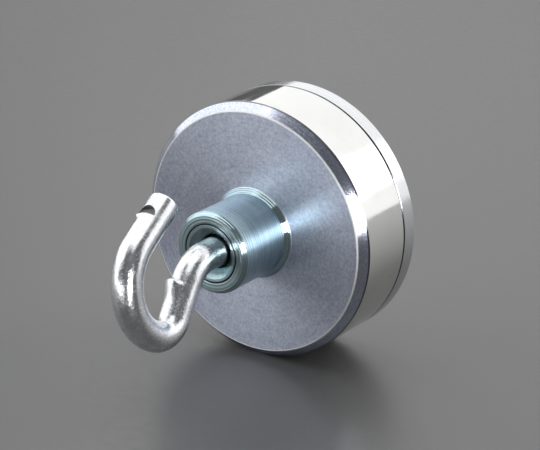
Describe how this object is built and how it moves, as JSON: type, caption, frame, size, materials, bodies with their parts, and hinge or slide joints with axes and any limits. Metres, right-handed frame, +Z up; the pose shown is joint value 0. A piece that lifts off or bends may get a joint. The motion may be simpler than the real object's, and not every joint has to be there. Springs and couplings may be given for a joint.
{
  "type": "magnet fishing magnet",
  "caption": "Single-sided pot magnet for magnet fishing: chamfered steel plate, bright round case and a swivelling wire hook held in a turned boss, lying on its side.",
  "frame": {"origin": "centre of the magnet's working face", "axes": "+Y out of the working face along the magnet's axis, the hook towards -Y; +Z up with the case lying on its side"},
  "size_m": [0.048, 0.0556, 0.048],
  "materials": {
    "zinc_plate": "turned steel, blue-white zinc plating, satin",
    "zinc_boss": "turned steel, bluish zinc plating, circular tool marks",
    "zinc_ring": "turned steel, zinc plating, satin",
    "nickel_case": "drawn steel tube, bright nickel plating",
    "bright_wire": "bent steel wire, bright zinc plating with drawing marks",
    "spring_steel": "plain steel",
    "magnet_nickel": "sintered magnet, nickel plated",
    "spacer_plastic": "moulded nylon",
    "cast_resin": "black cast epoxy, slightly uneven"
  },
  "bodies": {
    "magnet_body": {"yoke_plate": "zinc_plate", "boss": "zinc_boss", "swivel_bush": "zinc_boss", "boss_nut": "zinc_boss", "lock_washer": "spring_steel", "thrust_washer": "spring_steel", "case_sleeve": "nickel_case", "pole_ring": "zinc_ring", "pole_disc": "zinc_ring", "magnet_disc": "magnet_nickel", "spacer_ring": "spacer_plastic", "face_resin": "cast_resin"},
    "hook": {"hook": "bright_wire"}
  },
  "joints": [
    {"name": "hook_swivel", "type": "hinge", "parent": "magnet_body", "child": "hook", "pos_m": [0, -0.0293, 0], "axis": [0, 1, 0], "continuous": true}
  ]
}
